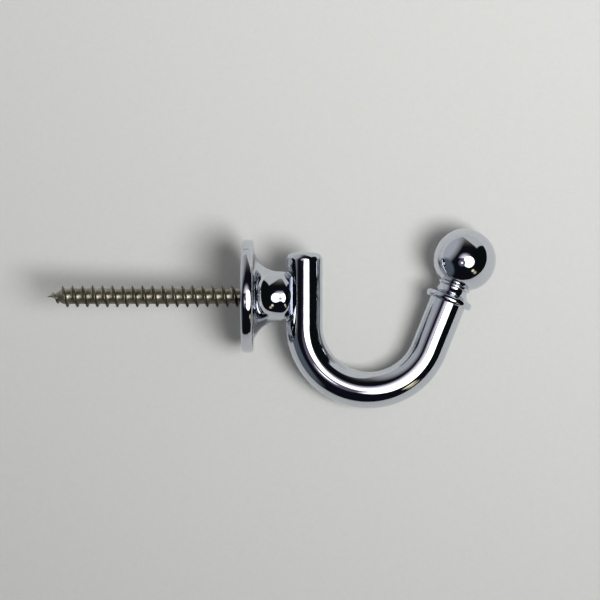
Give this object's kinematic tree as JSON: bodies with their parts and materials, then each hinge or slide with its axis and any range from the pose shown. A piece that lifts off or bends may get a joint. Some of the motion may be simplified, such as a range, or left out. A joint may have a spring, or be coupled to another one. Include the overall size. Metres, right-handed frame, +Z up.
{
  "type": "wall hook",
  "caption": "Chromed J-shaped wall hook with a ball end and a collar, on a round flared rose, fixed by a steel hanger screw.",
  "frame": {"origin": "on the wall plane, which is the rose's back face, on the screw's axis", "axes": "+X straight out of the wall along the screw, +Z up, +Y to the side; the J of the hook lies in the XZ plane"},
  "size_m": [0.0808, 0.0204, 0.0323],
  "materials": {
    "chrome_hook": "bright polished chrome plate",
    "chrome_rose": "bright polished chrome plate",
    "screw_steel": "dull yellowish zinc on rolled steel thread"
  },
  "bodies": {
    "root": {"hook": "chrome_hook", "rose": "chrome_rose", "screw": "screw_steel"}
  },
  "joints": []
}
